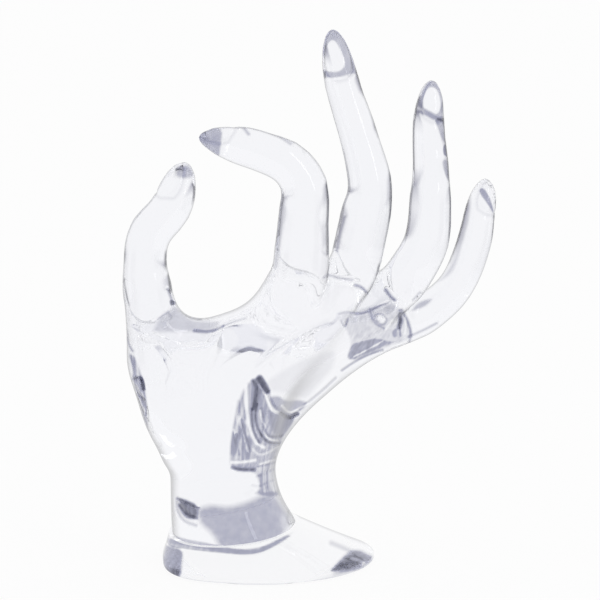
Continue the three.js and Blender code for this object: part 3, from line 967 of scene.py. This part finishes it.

# Each line: its path, how deep it is pressed, its half width, and its painted shade, a painted highlight
# where below zero.
HAND_CREASES: tuple[Crease, ...] = (
    # The long ridge line that parts the back of the hand from its heel.
    Crease(((-3.0, 61.0), (3.6, 66.6), (12.6, 71.8), (18.0, 74.6)), 0.5, 1.4, 0.1),
    Crease(((15.0, 72.4), (17.0, 73.2), (19.0, 73.7), (21.3, 75.6)), 0.4, 0.9, 0.3),
    # The dark folds of the fan in the bend of the wrist.
    Crease(((-4.4, 56.5), (-3.2, 54.8), (-3.4, 52.4), (-3.7, 49.7), (-4.4, 47.6)), 0.8, 0.8, 1.08),
    Crease(((-2.3, 57.2), (-1.1, 55.4), (-0.1, 53.2)), 1.2, 1.4, 2.6),
    Crease(((-3.2, 49.3), (-3.7, 44.9), (-2.9, 41.5), (-1.4, 38.7), (0.3, 37.0), (3.6, 36.7)),
           0.8, 0.7, 1.08),
    Crease(((-4.7, 47.9), (-4.7, 43.9), (-4.0, 40.1), (-2.6, 37.4)), 0.6, 0.6, 0.81),
    Crease(((-1.9, 47.9), (-1.4, 44.9), (-1.1, 40.8), (0.6, 38.7), (4.3, 39.1)), 0.7, 0.7, 0.81),
    Crease(((-8.6, 50.3), (-9.7, 43.9), (-10.7, 38.1), (-10.8, 34.0)), 0.5, 0.7, 0.41),
    Crease(((-9.4, 40.1), (-8.6, 37.0), (-8.4, 33.6)), 0.5, 0.6, 0.54),
    Crease(((-7.9, 44.5), (-6.6, 39.4), (-5.1, 34.7)), 0.5, 0.6, 0.54),
    Crease(((0.3, 53.1), (1.3, 49.0), (4.3, 45.9)), 0.7, 0.7, 0.41),
    # The bright folds between them, with painted highlights.
    Crease(((-6.4, 54.8), (-6.2, 51.0), (-6.1, 47.3), (-5.6, 43.2), (-4.7, 39.8), (-3.4, 37.0),
            (-1.1, 35.7)), -0.4, 0.8, -0.9),
    Crease(((-10.1, 41.5), (-9.1, 38.7), (-8.2, 35.3), (-8.1, 32.3)), -0.3, 0.5, -0.5),
    Crease(((-8.4, 45.6), (-7.2, 40.1), (-5.9, 34.7)), -0.3, 0.5, -0.5),
    Crease(((-2.6, 55.1), (-1.1, 53.1), (0.1, 50.3), (1.3, 47.3)), -0.3, 0.5, -0.9),
    Crease(((-2.1, 47.3), (-1.7, 44.2), (-0.7, 42.2), (-1.2, 40.8), (0.3, 38.1), (2.9, 37.4)),
           -0.3, 0.6, -0.8),
    Crease(((-4.4, 35.3), (-2.7, 33.3), (0.3, 34.0), (2.9, 35.7)), -0.3, 0.6, -0.5),
    # The step under the heel's lobe, and the nick below it.
    Crease(((0.3, 52.4), (1.6, 47.9), (4.3, 46.6), (6.6, 44.9), (8.6, 45.6)), 1.0, 1.0, 0.3),
    Crease(((4.3, 48.5), (6.3, 45.7), (8.9, 46.9), (11.9, 48.6)), -0.4, 0.6, -0.9),
    Crease(((4.0, 46.1), (6.5, 44.3), (8.9, 45.4)), 0.8, 1.0, 1.9),
    # The bar and ripples below the fan.
    Crease(((-10.7, 31.4), (-7.7, 31.3), (-3.7, 31.9)), -0.5, 0.7, -0.9),
    Crease(((-10.6, 29.7), (-7.7, 29.0), (-4.1, 28.9)), 1.2, 0.9, 1.0),
    Crease(((-2.4, 30.6), (0.3, 31.2), (1.9, 31.6)), -0.4, 0.6, -0.5),
    Crease(((-3.1, 29.9), (-0.4, 30.2), (1.9, 30.6)), 0.5, 0.6, 0.4),
    Crease(((-3.4, 26.8), (-1.1, 27.5), (1.6, 28.5)), 0.5, 0.7, 0.3),
    Crease(((-4.7, 24.1), (-2.7, 23.6), (-0.1, 24.8), (1.6, 25.1)), 0.5, 0.7, 0.3),
    # The knuckle of the little finger and the roots of the fingers.
    Crease(((21.3, 76.6), (23.7, 77.2), (28.3, 76.3), (33.7, 79.0), (36.3, 80.0)), 0.4, 0.8, 0.6),
    Crease(((21.7, 74.6), (23.0, 72.2), (23.8, 74.9)), 0.4, 0.6, 0.7),
    Crease(((32.0, 76.0), (34.0, 76.8), (36.2, 74.6), (34.7, 72.6), (32.3, 74.3), (32.0, 76.0)),
           0.5, 0.6, 0.4),
    Crease(((30.6, 78.0), (31.0, 75.4), (32.4, 73.2), (34.9, 72.0)), 0.4, 0.6, 0.5),
    Crease(((37.6, 74.4), (36.4, 72.8), (35.6, 71.6)), -0.3, 0.6, -0.5),
    Crease(((39.8, 76.2), (40.1, 74.2), (39.7, 72.2)), 0.7, 1.1, 1.5),
    Crease(((39.6, 77.6), (40.2, 74.9), (39.7, 72.2), (40.2, 69.6)), 0.4, 0.6, 0.7),
    Crease(((40.3, 77.7), (42.5, 74.2), (43.5, 70.2), (42.9, 67.6)), 0.6, 0.8, 0.9),
    Crease(((41.4, 75.2), (41.8, 72.6), (41.5, 70.2)), -0.3, 0.5, -0.5),
    Crease(((34.6, 67.9), (30.4, 65.5), (25.9, 63.2)), -0.3, 0.5, -0.8),
    Crease(((42.6, 69.3), (46.9, 71.2), (51.2, 73.5)), 0.3, 0.8, 0.7),
    Crease(((35.3, 83.8), (36.7, 81.8), (38.0, 80.7)), 0.6, 1.0, 1.4),
    Crease(((26.0, 85.2), (27.7, 84.8), (29.7, 82.8)), 0.5, 0.9, 1.1),
    Crease(((16.7, 87.5), (18.0, 88.4), (20.7, 87.4), (25.0, 86.8)), 0.4, 0.8, 0.7),
    Crease(((45.7, 83.1), (43.7, 80.7)), 0.5, 0.7, 0.6),
    # The thin edge under the lobe.
    Crease(((22.3, 58.9), (26.0, 61.5), (30.0, 63.6), (34.7, 65.2)), 0.5, 0.7, 0.9),
    Crease(((9.5, 47.0), (16.2, 52.4), (20.5, 56.6)), 0.5, 0.7, 0.6),
    # The web between the thumb and the first finger.
    Crease(((-21.5, 71.4), (-18.0, 71.0), (-15.0, 71.6), (-13.2, 72.8)), 0.5, 0.9, 1.2),
    Crease(((-13.2, 72.8), (-10.4, 74.0), (-6.4, 75.2)), 0.4, 0.6, 0.5),
    Crease(((-32.2, 75.0), (-29.2, 77.2)), 0.4, 0.6, 0.6),
    Crease(((-25.4, 77.6), (-22.9, 75.4), (-19.9, 75.0)), 0.5, 0.7, 1.2),
    Crease(((-29.4, 84.0), (-28.4, 81.3), (-28.0, 79.6)), 0.5, 0.8, 0.9),
    Crease(((-33.5, 70.4), (-27.2, 67.3), (-21.2, 66.3), (-16.5, 67.7), (-13.5, 73.1)), -0.4, 1.0, -0.4),
    # Wrinkles on the thumb's side.
    Crease(((-41.8, 71.5), (-41.3, 67.5), (-39.9, 65.3)), 0.4, 0.8, 0.9),
    Crease(((-37.4, 57.2), (-37.0, 55.6), (-36.8, 53.9)), 0.5, 0.9, 1.2),
    Crease(((-40.2, 56.6), (-38.1, 57.4), (-36.9, 56.6), (-36.5, 53.8)), 0.7, 0.7, 0.9),
    Crease(((-39.4, 54.1), (-37.4, 51.0), (-36.9, 49.0)), 0.6, 0.7, 0.3),
    Crease(((-38.6, 52.0), (-36.1, 50.0), (-36.1, 45.9)), 0.6, 0.7, 0.5),
    # The first finger's knuckle, and the fingers' inner sides.
    Crease(((-7.2, 132.6), (-5.4, 130.2)), 0.5, 0.9, 0.8),
    Crease(((0.2, 131.3), (3.4, 129.9), (6.8, 127.4)), 0.4, 0.9, 0.7),
    Crease(((22.9, 106.0), (21.4, 100.6), (20.6, 95.6)), 0.3, 0.9, 0.8),
    Crease(((4.5, 112.1), (3.4, 101.4), (2.4, 90.6)), 0.3, 1.0, 0.6),
    # The bars under the ring nail and the middle nail.
    Crease(((44.6, 138.4), (47.4, 137.3), (50.1, 135.7), (52.3, 136.0)), 0.3, 1.1, 0.9),
    Crease(((16.6, 147.5), (20.4, 147.1), (25.4, 148.7)), -0.2, 0.6, -0.6),
    # The dimple on the wrist.
    Crease(((-27.1, 19.7), (-24.1, 18.6), (-20.6, 17.2)), 0.8, 0.7, 1.2),
    Crease(((-26.6, 17.6), (-23.8, 14.9), (-21.3, 14.0)), 0.8, 0.9, 1.1),
    Crease(((-27.0, 18.6), (-25.3, 18.9), (-20.6, 17.6)), -0.4, 0.4, -0.6),
    Crease(((-27.6, 19.7), (-27.3, 15.4), (-25.0, 12.7), (-21.5, 11.8)), 0.5, 0.9, 0.7),
)

# Each patch: its outline, its painted shade (a painted highlight where below zero), its soft edge and its
# painted streaks.
HAND_SHADING_PATCHES: tuple[ShadingPatch, ...] = (
    # The bend of the wrist.
    ShadingPatch(((-4.4, 57.3), (-7.2, 54.8), (-8.9, 50.0), (-10.2, 43.9), (-11.2, 38.1), (-11.6, 34.0),
           (-11.6, 29.9), (-9.4, 28.0), (-4.1, 28.0), (-3.4, 25.8), (-2.7, 23.1), (-5.1, 21.0), (2.3, 20.0),
           (4.3, 20.0), (2.3, 25.1), (2.6, 29.9), (3.3, 34.0), (4.9, 38.1), (7.3, 41.5), (8.9, 44.5),
           (5.6, 45.6), (3.6, 46.6), (1.3, 46.9), (-0.1, 51.4), (0.3, 53.1), (-1.1, 56.5), (-2.7, 57.7)),
          0.88, 0.9, 0.35),
    # The streaked leaf on its left.
    ShadingPatch(((-6.2, 55.6), (-8.9, 49.6), (-10.8, 39.0), (-11.4, 31.6), (-4.6, 32.0), (-5.0, 39.0),
           (-6.0, 47.0)), 0.08, 0.8, 0.7),
    # The hollow at the fan's top.
    ShadingPatch(((-4.6, 57.3), (-2.4, 57.8), (-0.6, 55.8), (0.4, 52.7), (-1.4, 53.4), (-2.2, 50.0), (-3.4, 46.0),
           (-4.9, 48.0), (-5.1, 52.6)), 0.6, 0.7),
    # A painted highlight on the ripples under the fan.
    ShadingPatch(((-3.4, 31.2), (2.7, 32.0), (2.4, 25.1), (3.8, 21.0), (-3.0, 21.0), (-3.4, 25.8)),
          -0.3, 0.9, 0.4),
    # The fan's deep right side.
    ShadingPatch(((0.2, 50.5), (1.4, 47.0), (5.0, 45.4), (8.6, 44.4), (6.6, 40.8), (4.4, 38.2), (1.6, 39.6),
           (-0.2, 43.5)), 0.5, 1.0),
    # The tip of the heel's lobe.
    ShadingPatch(((0.1, 51.9), (1.3, 47.4), (3.9, 46.4), (6.3, 44.4), (8.6, 44.9), (12.3, 47.9), (12.3, 49.5),
           (8.9, 50.5), (5.6, 50.2), (3.6, 52.2)), 0.9, 0.9),
    # The little finger's knuckle.
    ShadingPatch(((21.3, 76.6), (26.0, 77.7), (33.7, 80.2), (40.0, 79.4), (43.7, 72.2), (43.7, 68.5), (39.0, 66.6),
           (33.7, 64.7), (31.0, 63.4), (26.7, 61.6), (23.3, 62.0), (25.0, 67.4), (22.7, 72.2)),
          0.52, 0.8, 0.3),
    # A painted highlight in the middle of its ring, and painted shade on the wedge beside it.
    ShadingPatch(((32.5, 75.8), (34.0, 76.4), (35.7, 74.7), (34.6, 73.1), (32.8, 74.4)), -0.5, 0.5),
    ShadingPatch(((36.8, 71.0), (39.2, 72.5), (39.7, 69.6), (38.0, 68.4)), 0.5, 0.5),
    # The deep patch under it.
    ShadingPatch(((24.5, 67.4), (29.0, 68.3), (32.3, 69.3), (36.3, 68.1), (39.7, 68.0), (35.7, 66.2), (32.0, 64.5),
           (28.3, 63.2), (26.0, 62.0), (23.2, 62.3)), 0.7, 0.6, 0.3),
    # The web of the thumb.
    ShadingPatch(((-34.2, 72.1), (-31.9, 75.8), (-28.9, 78.2), (-27.5, 80.6), (-26.2, 78.6), (-22.5, 75.0),
           (-19.2, 74.7), (-13.5, 75.0), (-13.7, 72.9), (-15.9, 71.2), (-22.2, 70.6), (-33.9, 70.4)),
          0.6, 1.2),
    # The dark corner of the web.
    ShadingPatch(((-29.0, 81.3), (-26.5, 80.1), (-27.2, 79.3), (-28.9, 78.6)), 1.4, 0.4),
    # The thumb's side.
    ShadingPatch(((-41.9, 65.1), (-40.1, 59.7), (-40.6, 56.6), (-38.9, 51.5), (-37.1, 42.8), (-35.1, 39.5),
           (-35.6, 45.9), (-35.5, 51.0), (-36.3, 56.6), (-37.9, 61.2), (-39.1, 64.3)), 0.85, 0.7, 0.9),
    # Faint painted shade on the heel's lobe.
    ShadingPatch(((-1.1, 56.5), (2.9, 59.2), (8.9, 62.9), (15.6, 65.3), (20.9, 66.0), (20.9, 60.2), (15.6, 54.1),
           (12.3, 49.5), (8.9, 50.2), (3.6, 51.9), (0.3, 52.7)), 0.24, 1.5),
    # Painted grey shade on the oval where the wrist meets the foot.
    ShadingPatch(((-22.4, 17.4), (-17.0, 19.4), (-12.9, 18.6), (-9.9, 19.0), (-5.4, 20.4), (-2.0, 22.0),
           (2.3, 22.4), (3.6, 20.1), (5.5, 17.0), (7.7, 13.6), (7.3, 10.5), (4.3, 7.1), (-0.1, 4.0),
           (-7.6, 2.5), (-14.6, 3.6), (-17.2, 8.6), (-21.4, 12.2)), 0.92, 2.0),
    # The dimple on the wrist.
    ShadingPatch(((-27.5, 20.5), (-23.8, 19.9), (-20.4, 18.2), (-20.6, 13.4), (-24.5, 13.0), (-27.1, 15.9)),
          1.8, 1.1, 0.4),
    # A painted highlight on the oval's right end.
    ShadingPatch(((3.6, 16.3), (6.4, 14.0), (6.8, 10.9), (4.0, 8.6), (3.0, 12.4)), -0.25, 1.2),
    COLLAR_SHADE_BAND,
    # The first finger's tip and the thumb's.
    ShadingPatch(((-21.5, 131.5), (-19.0, 133.5), (-12.6, 132.5), (-13.2, 127.4), (-13.8, 122.5), (-17.4, 124.0),
           (-21.0, 128.2)), 0.9, 0.6),
    ShadingPatch(((-27.5, 119.5), (-23.5, 122.5), (-20.5, 118.5), (-22.5, 116.5), (-27.0, 117.0)), 0.8),
    # Painted shade round the middle nail, and a painted highlight on its plate.
    ShadingPatch(((14.0, 147.6), (14.0, 156.0), (16.5, 162.0), (20.0, 165.0), (23.5, 162.0), (26.0, 155.0),
           (27.5, 148.5), (22.0, 147.2), (18.0, 147.0)), 0.8, 0.5),
    ShadingPatch(((15.6, 150.0), (16.2, 155.0), (18.0, 158.8), (19.8, 159.2), (21.6, 156.5), (23.4, 151.6),
           (21.6, 149.2), (18.6, 149.0)), -0.9, 0.5),
    # Painted shade round the ring nail, and a painted highlight on its plate.
    ShadingPatch(((44.0, 139.4), (45.5, 144.5), (48.0, 148.5), (51.5, 148.0), (53.5, 142.0), (53.5, 134.0),
           (49.0, 136.6)), 0.8, 0.5),
    ShadingPatch(((45.2, 139.8), (46.9, 145.0), (48.9, 146.2), (50.9, 145.0), (52.0, 140.4), (50.9, 136.8),
           (48.4, 138.0)), -0.9, 0.5),
    # Round the little nail.
    ShadingPatch(((63.3, 115.0), (65.1, 116.1), (67.2, 112.9), (68.7, 108.3), (68.2, 107.0), (66.2, 110.4),
           (64.3, 112.9)), 1.0, 0.4),
    # The ring finger's side.
    ShadingPatch(((49.4, 136.2), (53.1, 136.6), (53.7, 128.8), (52.0, 128.8), (50.5, 133.2)), 0.8, 0.5),
    ShadingPatch(((52.2, 128.5), (54.3, 128.5), (54.3, 124.4), (52.2, 124.7)), 1.4, 0.4),
    ShadingPatch(((51.9, 123.9), (54.3, 123.9), (55.0, 115.9), (53.2, 117.8), (52.0, 121.3)), 0.8, 0.5),
    # The little finger's inner side and root.
    ShadingPatch(((60.8, 108.3), (58.2, 100.6), (56.5, 94.5), (53.5, 89.1), (50.1, 85.3), (53.1, 86.4),
           (56.1, 88.7), (58.0, 92.9), (59.5, 99.1), (61.2, 105.2)), 0.55, 1.0),
    ShadingPatch(((42.6, 77.2), (45.6, 80.7), (50.9, 81.8), (48.6, 78.7), (44.1, 76.8)), 0.8, 0.8),
)

# Lines of painted shade only, none pressed in; a painted highlight where the last number is below zero.
FOOT_CREASES: tuple[Crease, ...] = (
    # Painted lilac shade along the edge under the wrist's oval, and its painted highlight lines.
    Crease(((-29.0, 6.3), (-24.1, 6.3), (-18.9, 5.5), (-12.9, 4.4), (-6.9, 3.7), (-2.8, 4.0), (1.3, 5.8),
            (6.2, 8.8), (7.7, 10.9)), 0.0, 1.3, 0.3),
    Crease(((-30.1, 7.4), (-24.9, 7.2), (-18.9, 7.1), (-14.4, 6.3)), 0.0, 0.7, -0.6),
    Crease(((-25.6, 4.2), (-22.6, 3.8), (-18.1, 3.4)), 0.0, 0.7, -0.6),
    # A painted grey shade line along the foot's lower edge.
    Crease(((-31.4, -2.9), (-24.9, -4.6), (-17.2, -5.4), (-3.9, -6.1), (8.1, -6.0), (18.6, -4.2),
            (28.6, -1.6)), 0.0, 0.8, 0.45),
    # Painted lilac shade on the toe's top edge, and a painted highlight on its lower edge.
    Crease(((19.0, 5.7), (22.6, 4.2), (26.4, 2.5), (30.9, 0.5)), 0.0, 1.2, 0.6),
    Crease(((25.2, 1.1), (27.2, 0.7), (28.7, -0.2)), 0.0, 0.7, -1.0),
)

# Patches of painted shade on the foot.
FOOT_SHADING_PATCHES: tuple[ShadingPatch, ...] = (
    # The heel.
    ShadingPatch(((-32.6, 5.6), (-26.2, 4.9), (-25.0, 3.2), (-25.3, 0.9), (-25.5, -3.7), (-28.3, -5.2),
           (-33.1, -5.2), (-33.1, 2.5)), 1.2, 0.9, 0.3),
    # Under the heel.
    ShadingPatch(((-32.4, -1.0), (-25.6, -1.0), (-25.3, -4.4), (-32.4, -4.8)), 0.7, 0.8),
    COLLAR_SHADE_BAND,
    # The toe.
    ShadingPatch(((17.5, -2.3), (21.2, 1.3), (23.8, 3.4), (27.6, 4.0), (30.6, 2.5), (33.2, 0.9), (30.6, -1.4),
           (27.6, -2.5), (21.6, -2.9)), 1.0, 1.0, 0.3),
    # Deeper painted shade in it, drawn as a dark hollow.
    ShadingPatch(((17.7, -2.5), (21.0, 0.5), (23.8, 2.8), (27.0, 2.5), (30.0, 0.5), (27.6, -1.4), (24.6, -2.1),
           (21.6, -2.5)), 1.1, 1.0),
)


def main() -> None:
    """Builds and dresses the stand, then the studio."""
    logging.basicConfig(level=logging.INFO, format="%(name)s: %(message)s")
    collar = Collar()
    hand_resin = ClearResin("hand_resin")
    # The foot's painted shade at the outlines is narrower.
    foot_resin = ClearResin("foot_resin", edge_start=0.8, edge_full=0.99)
    for part in (
        CastHand(collar, hand_resin, HAND_CREASES, HAND_SHADING_PATCHES),
        FlaredFoot(collar, foot_resin, FOOT_CREASES, FOOT_SHADING_PATCHES),
    ):
        part.build()
        part.dress()
    Studio().build()


if __name__ == "__main__":
    main()
